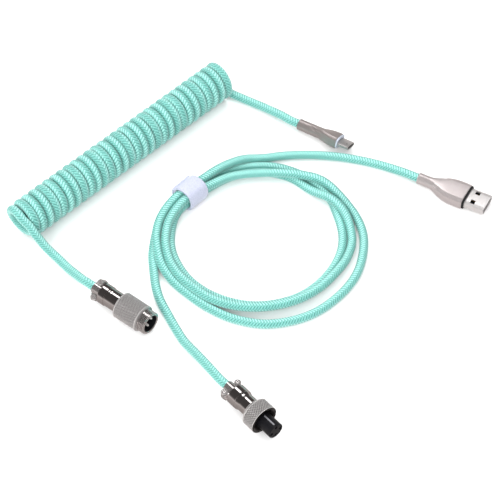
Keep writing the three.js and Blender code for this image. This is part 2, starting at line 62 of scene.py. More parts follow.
# Each connector's datum point, its heading in the table's plane and its roll, in degrees.
MALE = ((-84.9, -25.3, 6.95), -38.8, 0)
FEMALE = ((-21.1, -87.8, 7.5), -48.6, 0)
USB_C = ((25.1, 87.1, 4.25), -31, -20)
USB_A = ((89.7, 48.4, 3.4), -28.8, 0)

CORD_RADIUS = 2.25
CORD_DIAMETER = 2 * CORD_RADIUS
CLAMP_END = -17.5  # the rear end of an aviator connector
USB_C_LENGTH = 24.3
USB_A_LENGTH = 27.3
GAP = 0.3  # between a connector's rear end and the route's first free point
STRAIGHT_OUT = 5  # how far a cord leaves its connector in a straight line
INTO_CLAMP = 5.0
INTO_COLLAR = 3.0

COIL_START = (-139.8, 23.0)
COIL_END = (-37.5, 127.8)
COIL_RADIUS = 10.5
COIL_TURNS = 30
FIRST_TURN_IN = 1.9
FIRST_TURN_LEAN = 0.8

LOOPS_CENTRE = (-17.0, 19.5)
TIE_CENTRE = (-52.4, 48.5, 6.6)
TIE_HEADING = 48

# The leads' routes, from the connector outwards.
KEYBOARD_LEAD = [
    (-104.8, -8.8, 6.1), (-108.6, -4.2, 4.6), (-112.2, 0.2, 3.2), (-115.5, 4.5, 2.3),
    (-118.6, 7.9, 2.6), (-121.7, 10.4, 3.9), (-124.6, 12.2, 6.2), (-127.2, 14.1, 9.0),
    (-129.8, 15.8, 12.3), (-132.3, 18.1, 15.0),
]
USB_C_LEAD = [
    (-32.0, 124.4, 2.3), (-26.9, 121.2, 2.3), (-21.5, 118.0, 2.3),
    (-15.5, 114.3, 2.6), (-10.2, 110.3, 3.3), (-4.6, 106.1, 3.9),
]
HOST_LEAD = [
    (-44.5, -58.4, 6.2), (-49.9, -50.2, 4.8), (-54.5, -43.4, 3.4), (-58.6, -35.6, 2.5),
    (-62.2, -28.0, 2.3), (-66.4, -18.6, 2.3), (-68.6, -10.5, 2.3), (-69.8, 0.6, 2.3),
]
USB_A_LEAD = [
    (-41.0, 61.4, 8.6), (-36.8, 65.1, 8.2), (-32.4, 68.3, 7.6), (-28.3, 70.8, 6.9),
    (-23.7, 73.0, 6.0), (-19.4, 74.6, 5.0), (-15.0, 76.0, 4.0), (-10.4, 77.2, 3.1),
    (-5.5, 78.2, 2.5), (3.8, 79.0, 2.3), (11.7, 79.0, 2.3), (19.6, 78.3, 2.3),
    (27.0, 77.2, 2.3), (34.8, 75.4, 2.3), (42.1, 73.3, 2.3), (49.8, 70.4, 2.3), (56.0, 67.3, 2.7),
]

# The three turns of the loops, as (angle in degrees, radius, height) about their centre. They run
# clockwise, and each starts and ends in the tie, at 141 degrees.
FIRST_TURN = [
    (185, 53.4, 2.3), (170, 52.5, 2.3), (155, 50.6, 2.9), (141, 48.1, 3.9), (127, 49.0, 3.0),
    (110, 50.8, 2.3), (90, 51.5, 2.3), (70, 50.6, 2.3), (52, 48.0, 2.3), (30, 44.6, 2.3),
    (8, 42.8, 2.3), (-15, 41.8, 2.3), (-40, 41.4, 2.3), (-65, 42.0, 2.3), (-93, 42.8, 2.3),
    (-120, 43.2, 2.3), (-145, 44.2, 2.3), (-170, 45.2, 2.3), (170, 45.7, 2.3), (155, 46.1, 2.9),
]
SECOND_TURN = [
    (141, 43.6, 3.9), (125, 44.5, 2.8), (108, 46.3, 2.3), (90, 47.0, 2.3), (70, 46.0, 2.6),
    (52, 44.0, 4.0), (35, 45.0, 6.4), (18, 46.0, 6.3), (0, 46.3, 5.8), (-15, 44.8, 6.2),
    (-28, 43.4, 6.8), (-50, 43.0, 6.8), (-70, 43.4, 6.8), (-93, 44.1, 6.8), (-115, 45.2, 6.8),
    (-137, 46.6, 6.9), (-160, 47.4, 7.0), (-175, 47.8, 7.2), (170, 47.2, 7.6), (155, 45.4, 8.2),
]
THIRD_TURN = [
    (141, 43.6, 8.4), (127, 42.6, 7.0), (110, 43.8, 6.1), (90, 44.6, 6.1), (72, 45.6, 6.9),
    (52, 49.0, 7.6), (35, 50.6, 6.0), (18, 52.0, 2.9), (0, 52.7, 2.3), (-28, 52.9, 2.3),
    (-60, 53.4, 2.3), (-85, 53.3, 2.3), (-104, 51.6, 2.3), (-120, 49.8, 2.3), (-137, 48.8, 2.7),
    (-150, 50.4, 4.6), (-162, 52.2, 6.2), (-175, 52.8, 6.8), (176, 52.6, 6.9), (166, 51.8, 7.1),
    (154, 50.2, 7.7), (141, 48.1, 8.6), (129, 46.9, 8.9),
]

# ---------- sizes that several shapes share, in millimetres

ROUTE_STEP = 0.5  # between the points of a cord's route

# How the strands of the loops settle: where they are held, and how each round moves them.
SETTLE_STRIDE = 4
SETTLE_ROUNDS = 160
END_HELD, END_EASE = 25, 15
TIE_HELD, TIE_EASE = 24, 20
PUSH = 0.35
FALL = 0.02

# The cord's sleeve: how its mesh is divided, and its braid.
CORD_STEP = 0.28
AROUND = 40
YARNS = 6
FLOAT_LENGTH = 1.45
WEAVE_DEPTH = 0.2
FIBRES = 5

# An aviator connector's barrel, and the clamp behind it.
REAR_FLANGE = -11.8
REAR_RADIUS = 5.3
NECK = -12.9
NECK_RADIUS = 2.9
GRUB_X = -6.0
GRUB_RADIUS = 0.85
LOWER_ARCH = 3.5
UPPER_ARCH = 3.05
CORD_WAY = 2.32
CLAMP_GAP = 0.15
EAR_TOP = 1.15
EAR_BOTTOM = -1.6
EAR_ROUND = 2.4
SCREW_X = -14.9
SCREW_Y = 4.15

CONTACT_CIRCLE = 2.7
KNURLS = 44
KNURL_SEGMENTS = 7 * KNURLS
# Plain parts sit at this mid relief, so the relief metals paint them a tone between their painted
# groove shade and their painted crest highlight.
PLAIN_RELIEF = 0.45  # the relief of a metal's plain parts, between 0 in a groove and 1 on a crest
SHEET = 0.3  # the USB shells' thickness
EDGE = 0.3  # the round on a USB housing's edges
CORD_HOLE = 2.3  # the radius of a USB housing's cord hole


# ---------- the camera

VIEW_TARGET = (-22.0, 15.5, 0.0)
VIEW_ELEVATION = 50
VIEW_DISTANCE = 0.95
VIEW_LENS = 135.1


def add_object(name, data):
    obj = bpy.data.objects.new(name, data)
    bpy.context.scene.collection.objects.link(obj)
    return obj


def make_camera():
    """A long lens that looks along +Y and down at the cable."""
    target = Vector(VIEW_TARGET) * MM
    elevation = math.radians(VIEW_ELEVATION)
    away = Vector((0, -math.cos(elevation), math.sin(elevation))) * VIEW_DISTANCE
    data = bpy.data.cameras.new("camera")
    data.sensor_width = 36
    data.lens = VIEW_LENS
    camera = add_object("camera", data)
    camera.location = target + away
    camera.rotation_euler = (-away).to_track_quat("-Z", "Y").to_euler()
    bpy.context.scene.camera = camera


make_camera()


# ---------- meshes

def placed(place):
    """The matrix from a connector's millimetres to the frame's metres."""
    at, heading, roll = place
    heading_turn = Matrix.Rotation(math.radians(heading), 4, "Z")
    turn = heading_turn @ Matrix.Rotation(math.radians(roll), 4, "X")
    return Matrix.Scale(MM, 4) @ Matrix.Translation(Vector(at)) @ turn


def on_axis(place, x):
    return tuple(placed(place) @ Vector((x, 0, 0)) / MM)


def make_object(name, shape):
    points, faces = shape
    mesh = bpy.data.meshes.new(name)
    mesh.from_pydata([tuple(p) for p in points], [], faces)
    mesh.validate()
    edit = bmesh.new()
    edit.from_mesh(mesh)
    bmesh.ops.recalc_face_normals(edit, faces=edit.faces)
    edit.to_mesh(mesh)
    edit.free()
    return add_object(name, mesh)


def apply_modifiers(obj):
    view = bpy.context.evaluated_depsgraph_get()
    mesh = bpy.data.meshes.new_from_object(obj.evaluated_get(view), depsgraph=view)
    obj.modifiers.clear()
    obj.data = mesh


def bevelled(obj, width, segments=2):
    modifier = obj.modifiers.new("bevel", "BEVEL")
    modifier.width = width
    modifier.segments = segments
    modifier.limit_method = "ANGLE"
    modifier.angle_limit = math.radians(35)
    apply_modifiers(obj)


def combine(obj, shape, operation):
    tool = make_object("cutter", shape)
    modifier = obj.modifiers.new("combine", "BOOLEAN")
    modifier.operation = operation
    modifier.solver = "EXACT"
    modifier.object = tool
    apply_modifiers(obj)
    bpy.data.objects.remove(tool)


def cut(obj, *cutters):
    """Cuts shapes out of an object."""
    for cutter in cutters:
        combine(obj, cutter, "DIFFERENCE")


def finish_piece(obj, place, material, body, slot, nodes, smooth=32):
    """Places a piece in the frame and says what it rides on, and hides the CAD nodes that it
    stands for. Edges sharper than smooth degrees stay sharp."""
    obj.data.transform(placed(place))
    obj.data.shade_smooth()
    obj.data.set_sharp_from_angle(angle=math.radians(smooth))
    weighted = obj.modifiers.new("normals", "WEIGHTED_NORMAL")
    weighted.keep_sharp = True
    apply_modifiers(obj)
    obj.data.materials.clear()
    obj.data.materials.append(material)
    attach(obj, body)
    if nodes:
        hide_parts(*nodes)
    return obj


def make_piece(name, shape, place, material, body, slot, nodes, smooth=32, bevel=0):
    """A finished piece made of one shape."""
    obj = make_object(name, shape)
    if bevel:
        bevelled(obj, bevel)
    return finish_piece(obj, place, material, body, slot, nodes, smooth)


def revolved(profile, segments, radius_at=None):
    """A turned shape on the X axis from (x, radius) points. Unless both ends are on the axis, the
    outline closes on itself. radius_at(x, radius, angles) may change the radius round the turn."""
    angles = np.arange(segments) * math.tau / segments
    points, rings = [], []
    for x, radius in profile:
        if radius == 0:
            rings.append([len(points)] * segments)
            points.append((x, 0, 0))
            continue
        radii = np.full(segments, float(radius))
        if radius_at is not None:
            radii = radius_at(x, radii, angles)
        rings.append(list(range(len(points), len(points) + segments)))
        points.extend(zip(np.full(segments, x), radii * np.cos(angles), radii * np.sin(angles)))
    if profile[0][1] != 0:
        rings.append(rings[0])
    faces = []
    for a, b in zip(rings, rings[1:]):
        for i in range(segments):
            j = (i + 1) % segments
            corners = (a[i], a[j], b[j], b[i])
            faces.append(tuple(dict.fromkeys(corners)))
    return points, faces


def eased(profile, radius):
    """The outline with a small round at each corner. Points on the axis stay."""
    closed = profile[0][1] != 0
    result = []
    count = len(profile)
    for i, corner in enumerate(profile):
        if not closed and i in (0, count - 1):
            result.append(corner)
            continue
        here = np.array(corner, float)
        before = np.array(profile[i - 1], float) - here
        after = np.array(profile[(i + 1) % count], float) - here
        back = here + before * min(radius / max(np.linalg.norm(before), 1e-9), 0.45)
        on = here + after * min(radius / max(np.linalg.norm(after), 1e-9), 0.45)
        for t in np.linspace(0, 1, 4):
            result.append(tuple((1 - t) ** 2 * back + 2 * t * (1 - t) * here + t ** 2 * on))
    return result


def finely(profile, step):
    """The outline with points added, so that none are further apart than step."""
    result = []
    for (x0, r0), (x1, r1) in zip(profile, profile[1:]):
        parts = max(1, math.ceil(math.hypot(x1 - x0, r1 - r0) / step))
        result.extend((x0 + (x1 - x0) * i / parts, r0 + (r1 - r0) * i / parts) for i in range(parts))
    return result + [profile[-1]]


def moved(shape, y, z):
    """The shape shifted across the X axis."""
    points, faces = shape
    return [(px, py + y, pz + z) for px, py, pz in points], faces


def rod(radius, x0, x1, y=0.0, z=0.0):
    return moved(revolved([(x0, 0), (x0, radius), (x1, radius), (x1, 0)], 32), y, z)


def upright(shape, x, y):
    """A shape on the X axis stood up along Z at (x, y)."""
    points, faces = shape
    return [(x - pz, y + py, px) for px, py, pz in points], faces


def box(x0, x1, y0, y1, z0, z1):
    points = [(x, y, z) for x in (x0, x1) for y in (y0, y1) for z in (z0, z1)]
    faces = [(0, 1, 3, 2), (4, 6, 7, 5), (0, 4, 5, 1), (2, 3, 7, 6), (0, 2, 6, 4), (1, 5, 7, 3)]
    return points, faces


def arc(radius, start, end):
    """Points in the (y, z) plane on an arc about the X axis, with angles in degrees."""
    return [
        (radius * math.cos(a), radius * math.sin(a))
        for a in np.radians(np.linspace(start, end, 25))
    ]


def extruded(outline, x0, x1):
    """A closed (y, z) outline drawn out along X."""
    count = len(outline)
    points = [(x, y, z) for x in (x0, x1) for y, z in outline]
    faces = [tuple(range(count)), tuple(reversed(range(count, 2 * count)))]
    faces += [(i, (i + 1) % count, count + (i + 1) % count, count + i) for i in range(count)]
    return points, faces


def section(width, height, corner, around=96, twist=0.0):
    """A rectangle with round corners in the (y, z) plane, walked from its +Y side."""
    angles = np.arange(around) * math.tau / around
    inner_y, inner_z = width / 2 - corner, height / 2 - corner
    y = np.clip(np.cos(angles) * 1.2, -1, 1) * inner_y + corner * np.cos(angles)
    z = np.clip(np.sin(angles) * 1.2, -1, 1) * inner_z + corner * np.sin(angles)
    turn = math.radians(twist)
    return y * math.cos(turn) - z * math.sin(turn), y * math.sin(turn) + z * math.cos(turn)


def ring_at(x, width, height, corner, around, twist=0.0):
    y, z = section(width, height, corner, around, twist)
    return np.column_stack([np.full(around, x), y, z])


def skinned(rings, closed=True):
    """A shape through rings of as many points each. It is closed from the last ring back to the
    first, or else has an end face on both."""
    around = len(rings[0])
    points = [tuple(p) for ring in rings for p in ring]
    faces = []
    for i in range(len(rings) if closed else len(rings) - 1):
        a, b = i * around, (i + 1) % len(rings) * around
        faces += [
            (a + j, a + (j + 1) % around, b + (j + 1) % around, b + j) for j in range(around)
        ]
    if not closed:
        faces += [tuple(reversed(range(around))), tuple(range(b, b + around))]
    return points, faces


# ---------- materials

def new_material(name):
    material = bpy.data.materials.new(name)
    material.use_nodes = True
    tree = material.node_tree
    shader = tree.nodes["Principled BSDF"]
    return material, tree, shader


def node(tree, kind, **values):
    made = tree.nodes.new(kind)
    for key, value in values.items():
        if key in made.inputs:
            made.inputs[key].default_value = value
        else:
            setattr(made, key, value)
    return made


def ramp(tree, source, *stops):
    """A colour ramp through (position, colour) stops, fed from a socket."""
    made = tree.nodes.new("ShaderNodeValToRGB")
    elements = made.color_ramp.elements
    while len(elements) < len(stops):
        elements.new(0.5)
    for element, (position, colour) in zip(elements, stops):
        element.position = position
        element.color = (*colour, 1)
    tree.links.new(source, made.inputs["Fac"])
    return made.outputs["Color"]


def grey(value):
    return value, value, value


def drive(tree, shader, socket, source, *stops):
    """Drives one of a shader's sockets through a ramp."""
    tree.links.new(ramp(tree, source, *stops), shader.inputs[socket])


def object_coordinates(tree, heading, scale):
    """Object coordinates turned to a heading in degrees, in units of scale metres."""
    coordinates = tree.nodes.new("ShaderNodeTexCoord")
    mapping = tree.nodes.new("ShaderNodeMapping")
    mapping.vector_type = "TEXTURE"
    mapping.inputs["Rotation"].default_value = (0, 0, math.radians(heading))
    mapping.inputs["Scale"].default_value = scale
    tree.links.new(coordinates.outputs["Object"], mapping.inputs["Vector"])
    return mapping.outputs["Vector"]


def texture(tree, kind, at, output, **values):
    made = node(tree, kind, Scale=1.0, **values)
    tree.links.new(at, made.inputs["Vector"])
    return made.outputs[output]


def bump(tree, shader, height, distance, strength=1.0):
    made = node(tree, "ShaderNodeBump", Strength=strength, Distance=distance)
    tree.links.new(height, made.inputs["Height"])
    tree.links.new(made.outputs["Normal"], shader.inputs["Normal"])


def metal(name, colour, dark, roughness, spread, heading=0.0, brushed=0.0, metallic=1.0):
    """A metal with cloudy tone and roughness, and with brush lines that deep along a heading."""
    material, tree, shader = new_material(name)
    shader.inputs["Metallic"].default_value = metallic
    cloud_at = object_coordinates(tree, heading, (0.004, 0.004, 0.004))
    cloud = texture(tree, "ShaderNodeTexNoise", cloud_at, "Fac", Detail=4.0, Roughness=0.6)
    drive(tree, shader, "Base Color", cloud, (0.3, dark), (0.7, colour))
    low, high = roughness - spread, roughness + spread
    drive(tree, shader, "Roughness", cloud, (0.3, grey(high)), (0.7, grey(low)))
    if brushed:
        lines_at = object_coordinates(tree, heading, (0.004, 0.00012, 0.00012))
        lines = texture(tree, "ShaderNodeTexNoise", lines_at, "Fac", Detail=3.0, Roughness=0.55)
        bump(tree, shader, lines, brushed)
    return material


def plastic(name, colour, light, roughness):
    """A moulded plastic or lacquer with a fine grain."""
    material, tree, shader = new_material(name)
    at = object_coordinates(tree, 0, (0.0006, 0.0006, 0.0006))
    grain = texture(tree, "ShaderNodeTexNoise", at, "Fac", Detail=5.0, Roughness=0.65)
    drive(tree, shader, "Base Color", grain, (0.35, colour), (0.75, light))
    low, high = roughness - 0.06, roughness + 0.1
    drive(tree, shader, "Roughness", grain, (0.2, grey(low)), (0.8, grey(high)))
    shader.inputs["Specular IOR Level"].default_value = 0.3
    bump(tree, shader, grain, 0.00002)
    return material


def math_node(tree, operation, *values):
    """A Math node fed from sockets and numbers."""
    made = node(tree, "ShaderNodeMath", operation=operation)
    for socket, value in zip(made.inputs, values):
        if isinstance(value, (int, float)):
            socket.default_value = value
        else:
            tree.links.new(value, socket)
    return made.outputs[0]


def cloth(shader, roughness, sheen, sheen_roughness):
    shader.inputs["Roughness"].default_value = roughness
    shader.inputs["Sheen Weight"].default_value = sheen
    shader.inputs["Sheen Roughness"].default_value = sheen_roughness


def braid_material():
    """Mint yarn in a two-over-two braid of two families of floats, with fine fibres along each
    float. Its colour carries painted light: one family is painted brighter as a painted sheen,
    each float's crown is painted lighter as a painted highlight, and the gaps are painted
    darker as painted shade."""
    material, tree, shader = new_material("mint_braid")

    def calc(operation, *values):
        return math_node(tree, operation, *values)

    place = node(tree, "ShaderNodeAttribute", attribute_name="on_sleeve")
    parts = tree.nodes.new("ShaderNodeSeparateXYZ")
    tree.links.new(place.outputs["Vector"], parts.inputs[0])
    across, along = parts.outputs["X"], parts.outputs["Y"]
    a = calc("ADD", across, along)
    b = calc("SUBTRACT", across, along)
    cell = calc("ADD", calc("FLOOR", a), calc("FLOOR", b))
    over = calc("LESS_THAN", calc("FLOORED_MODULO", cell, 4), 2)
    a_part = calc("SUBTRACT", calc("FRACT", a), 0.5)
    b_part = calc("SUBTRACT", calc("FRACT", b), 0.5)
    side = calc("MULTIPLY_ADD", calc("SUBTRACT", b_part, a_part), over, a_part)
    height = calc("MULTIPLY_ADD", calc("MULTIPLY", side, side), -3.4, 1.0)
    noise_at = object_coordinates(tree, 0, (0.0011, 0.0011, 0.0011))
    noise = texture(tree, "ShaderNodeTexNoise", noise_at, "Fac", Detail=3.0)
    # The float heights and the brighter family feed the colour below as painted light: a painted
    # highlight on each crown, painted shade in the gaps and a painted sheen on one family. The noise
    # is the yarn's own uneven tone.
    painted_crowns_and_tone = calc("MULTIPLY_ADD", noise, 0.4, height)
    painted_sheen_and_tone = calc("MULTIPLY_ADD", over, 0.3, painted_crowns_and_tone)
    drive(
        tree, shader, "Base Color", calc("MULTIPLY", painted_sheen_and_tone, 0.56),
        (0.2, (0.035, 0.165, 0.14)), (0.42, (0.09, 0.32, 0.28)),
        (0.62, (0.165, 0.47, 0.425)), (0.9, (0.40, 0.76, 0.71)),
    )
    cloth(shader, 0.42, 0.25, 0.4)
    shader.inputs["Specular IOR Level"].default_value = 0.55
    fibres = calc("SINE", calc("MULTIPLY", side, FIBRES * math.tau))
    bump(tree, shader, calc("MULTIPLY_ADD", fibres, 0.12, height), 0.0002, 0.9)
    return material


def tie_material():
    """Pale hook-and-loop fabric: a soft nap of tiny loops."""
    material, tree, shader = new_material("tie_fabric")
    at = object_coordinates(tree, TIE_HEADING, (0.0007, 0.0007, 0.0007))
    nap = texture(tree, "ShaderNodeTexVoronoi", at, "Distance")
    drive(tree, shader, "Base Color", nap, (0.0, (0.47, 0.495, 0.61)), (0.9, (0.38, 0.40, 0.51)))
    cloth(shader, 0.95, 0.3, 0.5)
    bump(tree, shader, nap, 0.00015, 0.6)
    return material


def relief_metal(name, metallic, roughness, *stops):
    """A knurled or threaded metal, coloured by how high each point stands in its relief: painted
    shade in the grooves and a painted highlight on the crests.
    """
    material, tree, shader = new_material(name)
    relief = node(tree, "ShaderNodeAttribute", attribute_name="relief").outputs["Fac"]
    drive(tree, shader, "Base Color", relief, *stops)
    drive(tree, shader, "Roughness", relief, (0.0, grey(0.5)), (PLAIN_RELIEF, grey(roughness)))
    shader.inputs["Metallic"].default_value = metallic
    return material


MINT = braid_material()
TIE = tie_material()
CHROME = metal("chrome", (0.57, 0.535, 0.525), (0.52, 0.485, 0.475), 0.11, 0.02)
# The knurled and threaded metals' colour stops are painted light: near-black painted shade in the
# grooves and a near-white painted highlight on the crests.
KNURLED = relief_metal(
    "knurled_chrome", 0.67, 0.22, (0.0, (0.04, 0.038, 0.038)), (0.3, (0.20, 0.19, 0.188)),
    (0.55, (0.68, 0.66, 0.65)), (1.0, (0.95, 0.93, 0.92)),
)
THREADED = relief_metal(
    "threaded_chrome", 0.9, 0.1, (0.0, (0.03, 0.028, 0.027)), (0.35, (0.30, 0.28, 0.27)),
    (PLAIN_RELIEF, (0.62, 0.585, 0.575)), (0.9, (0.90, 0.87, 0.86)),
)
# Near-black metal for the coupling nut's mouth and inner threads: painted shade inside the nut's
# bore.
SHADED = metal("shaded_thread", (0.07, 0.066, 0.065), (0.04, 0.038, 0.037), 0.18, 0.03)
SATIN = metal("satin_chrome", (0.66, 0.63, 0.62), (0.50, 0.47, 0.46), 0.16, 0.05, metallic=0.9)
SCREW = metal("steel_screw", (0.78, 0.75, 0.74), (0.62, 0.59, 0.58), 0.18, 0.05, metallic=0.75)
CHAMPAGNE_A = metal(
    "champagne_metal_usb_a", (0.71, 0.645, 0.64), (0.67, 0.605, 0.60), 0.36, 0.02, USB_A[1],
    brushed=0.000004, metallic=0.75,
)
CHAMPAGNE_C = metal(
    "champagne_metal_usb_c", (0.47, 0.42, 0.405), (0.43, 0.38, 0.37), 0.34, 0.02, USB_C[1],
    brushed=0.000004, metallic=0.75,
)
NICKEL = metal("nickel", (0.86, 0.83, 0.82), (0.81, 0.78, 0.77), 0.32, 0.03, metallic=0.72)
NICKEL_C = metal("nickel_usb_c", (0.60, 0.58, 0.57), (0.55, 0.53, 0.52), 0.3, 0.03, metallic=0.8)
PIN = metal("pin_metal", (0.95, 0.93, 0.90), (0.88, 0.86, 0.83), 0.25, 0.04, metallic=0.45)
GOLD = metal("gold_contact", (0.83, 0.62, 0.30), (0.72, 0.51, 0.22), 0.22, 0.04)
BLACK = plastic("black_insulator", (0.004, 0.004, 0.005), (0.010, 0.010, 0.012), 0.42)
KEY = plastic("grey_key", (0.15, 0.15, 0.165), (0.19, 0.19, 0.205), 0.3)
GASKET = plastic("black_gasket", (0.008, 0.008, 0.008), (0.018, 0.018, 0.018), 0.55)
PALE = plastic("pale_plastic", (0.42, 0.46, 0.53), (0.46, 0.50, 0.57), 0.32)
BOARD = plastic("circuit_board", (0.012, 0.12, 0.06), (0.02, 0.17, 0.09), 0.4)


# ---------- the cord

def smooth_route(points):
    """Even points along a centripetal Catmull-Rom curve through the given ones."""
    knots = np.array(points, float)
    first, last = 2 * knots[0] - knots[1], 2 * knots[-1] - knots[-2]
    knots = np.vstack([first, knots, last])
    curve = []
    for p0, p1, p2, p3 in zip(knots, knots[1:], knots[2:], knots[3:]):
        t0, t1 = 0.0, np.linalg.norm(p1 - p0) ** 0.5
        t2 = t1 + np.linalg.norm(p2 - p1) ** 0.5
        t3 = t2 + np.linalg.norm(p3 - p2) ** 0.5
        steps = max(2, int(np.linalg.norm(p2 - p1) / ROUTE_STEP * 2))
        t = np.linspace(t1, t2, steps, endpoint=False)[:, None]

        def mixed(before, start, after, end):
            return (end - t) / (end - start) * before + (t - start) / (end - start) * after

        a1, a2, a3 = mixed(p0, t0, p1, t1), mixed(p1, t1, p2, t2), mixed(p2, t2, p3, t3)
        b1, b2 = mixed(a1, t0, a2, t2), mixed(a2, t1, a3, t3)
        curve.append(mixed(b1, t1, b2, t2))
    return even(np.vstack([*curve, knots[-2]]), ROUTE_STEP)


def even(curve, spacing):
    """The same line with its points a fixed distance apart."""
    lengths = np.concatenate([[0], np.cumsum(np.linalg.norm(np.diff(curve, axis=0), axis=1))])
    count = int(round(lengths[-1] / spacing)) + 1
    at = np.linspace(0, lengths[-1], count)
    return np.column_stack([np.interp(at, lengths, curve[:, k]) for k in range(3)])


def settled(route):
    """The route with its strands pushed apart where they cross, and let down on what is below.
    The two ends, which the connectors hold, and the bundle in the tie stay where they are."""
    coarse = route[::SETTLE_STRIDE]
    spacing = ROUTE_STEP * SETTLE_STRIDE
    order = np.arange(len(coarse))
    reach = int(round(3 * CORD_DIAMETER / spacing))
    apart = np.abs(order[:, None] - order[None, :]) > reach
    from_end = np.minimum(order, order[::-1]) * spacing
    from_tie = np.linalg.norm(coarse[:, :2] - np.array(TIE_CENTRE[:2]), axis=1)
    end_freedom = np.clip((from_end - END_HELD) / END_EASE, 0, 1)
    tie_freedom = np.clip((from_tie - TIE_HELD) / TIE_EASE, 0, 1)
    free = (end_freedom * tie_freedom)[:, None]
    shift = np.zeros_like(coarse)
    for _ in range(SETTLE_ROUNDS):
        now = coarse + shift
        between = now[:, None, :] - now[None, :, :]
        distance = np.linalg.norm(between, axis=2) + 1e-9
        push = np.where(apart & (distance < CORD_DIAMETER), (CORD_DIAMETER - distance) / distance, 0)
        shift += PUSH * (between * push[:, :, None]).sum(axis=1) * free
        shift[:, 2] -= FALL * free[:, 0]
        shift[1:-1] = 0.2 * shift[:-2] + 0.6 * shift[1:-1] + 0.2 * shift[2:]
        shift[:, 2] = np.maximum(shift[:, 2], CORD_RADIUS - coarse[:, 2])
    full = np.column_stack([
        np.interp(np.arange(len(route)), order * SETTLE_STRIDE, shift[:, k]) for k in range(3)
    ])
    return even(route + full, ROUTE_STEP)


def carried_frames(line):
    """Two directions across the line at each point, carried along it without twist."""
    tangents = np.gradient(line, axis=0)
    tangents /= np.linalg.norm(tangents, axis=1)[:, None]
    side = np.cross(tangents[0], (0, 0, 1))
    side /= np.linalg.norm(side)
    sides = [side]
    for tangent in tangents[1:]:
        side = side - tangent * (side @ tangent)
        side = side / np.linalg.norm(side)
        sides.append(side)
    sides = np.array(sides)
    return sides, np.cross(tangents, sides)


def woven(across, along):
    """How high a two-over-two braid stands, from 0 to 1, at a point counted in yarns round the
    sleeve and in floats along it."""
    a, b = across + along, across - along
    over = (np.floor(a) + np.floor(b)) % 4 < 2
    side = np.where(over, b, a) % 1 - 0.5
    return np.sqrt(np.clip(1 - (side / 0.54) ** 2, 0, 1))


def braided_cord(name, line):
    """The cord's sleeve as a mesh along a line in millimetres, with closed ends."""
    line = even(line, CORD_STEP)
    sides, ups = carried_frames(line)
    rows, columns = np.arange(len(line))[:, None], np.arange(AROUND)[None, :]
    angles = np.arange(AROUND) * math.tau / AROUND
    height = woven(columns * YARNS / AROUND, rows * CORD_STEP / FLOAT_LENGTH)
    radius = CORD_RADIUS - WEAVE_DEPTH * (1 - height) + 0.02
    ring = (
        np.cos(angles)[None, :, None] * sides[:, None, :]
        + np.sin(angles)[None, :, None] * ups[:, None, :]
    )
    points = line[:, None, :] + radius[:, :, None] * ring
    index = np.arange(len(line) * AROUND).reshape(len(line), AROUND)
    quads = np.stack([
        index[:-1], np.roll(index[:-1], -1, axis=1), np.roll(index[1:], -1, axis=1), index[1:]
    ], axis=-1).reshape(-1, 4)
    ends = [tuple(index[0][::-1]), tuple(index[-1])]
    mesh = bpy.data.meshes.new(name)
    mesh.from_pydata((points.reshape(-1, 3) * MM).tolist(), [], quads.tolist() + ends)
    place = np.zeros((len(line) - 1, AROUND, 4, 3), np.float32)
    for corner, (ahead, on) in enumerate(((0, 0), (0, 1), (1, 1), (1, 0))):
        place[:, :, corner, 0] = (columns + on) * YARNS / AROUND
        place[:, :, corner, 1] = (rows[:-1] + ahead) * CORD_STEP / FLOAT_LENGTH
    place = np.concatenate([place.ravel(), np.zeros(2 * AROUND * 3, np.float32)])
    layer = mesh.attributes.new("on_sleeve", "FLOAT_VECTOR", "CORNER")
    layer.data.foreach_set("vector", place)
    mesh.shade_smooth()
    mesh.materials.append(MINT)
    return add_object(name, mesh)


def coil_axis():
    start, end = np.array([*COIL_START, COIL_RADIUS]), np.array([*COIL_END, COIL_RADIUS])
    length = np.linalg.norm(end - start)
    return start, end, length, (end - start) / length


def coil_route():
    """The coil's centreline: a helix that lies on the table, with its first turn drawn in and
    leaning, and opening in its last half turn."""
    start, _, length, along = coil_axis()
    front, up = np.array([along[1], -along[0], 0]), np.array([0, 0, 1])
    winding = COIL_RADIUS - CORD_RADIUS
    pitch = (length - CORD_DIAMETER) / COIL_TURNS
    degrees = np.arange(60, 270 + 360 * COIL_TURNS + 1, 10)
    route = []
    for degree in degrees:
        turn = (degree - 90) / 360
        slack = max(0.0, turn - COIL_TURNS) * 3
        wobble = 0.1 * math.sin(turn * 2.4) + 0.06 * math.sin(turn * 5.1 + 1)
        distance = CORD_RADIUS + pitch * turn + slack + wobble
        drawn_in = FIRST_TURN_IN * math.sin(math.pi * min(max(turn / 0.85, 0), 1)) ** 2
        leaning = FIRST_TURN_LEAN * max(0.0, 1 - max(turn, 0) / 0.35)
        angle = math.radians(degree)
        route.append(
            start + along * (distance - leaning)
            + (winding - drawn_in) * (math.cos(angle) * front + math.sin(angle) * up)
        )
    return route


def polar(stations):
    points = []
    for angle, radius, height in stations:
        turn = math.radians(angle)
        x, y = LOOPS_CENTRE
        points.append((x + radius * math.cos(turn), y + radius * math.sin(turn), height))
    return points


def route_between(connector, lead, plug, plug_length):
    """A route from inside a connector's clamp, along the lead, to inside a plug's collar."""
    return [
        on_axis(connector, CLAMP_END + INTO_CLAMP), on_axis(connector, CLAMP_END - GAP),
        on_axis(connector, CLAMP_END - GAP - STRAIGHT_OUT), *lead,
        on_axis(plug, -plug_length - GAP - STRAIGHT_OUT), on_axis(plug, -plug_length - GAP),
        on_axis(plug, -plug_length + INTO_COLLAR),
    ]


def declared_path(line):
    kept = [*line[::4], line[-1]]
    return [tuple(float(c) * MM for c in p) for p in kept]


def make_cord(name, line, *nodes):
    cord = braided_cord(name, line)
    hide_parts(*nodes)
    return cord


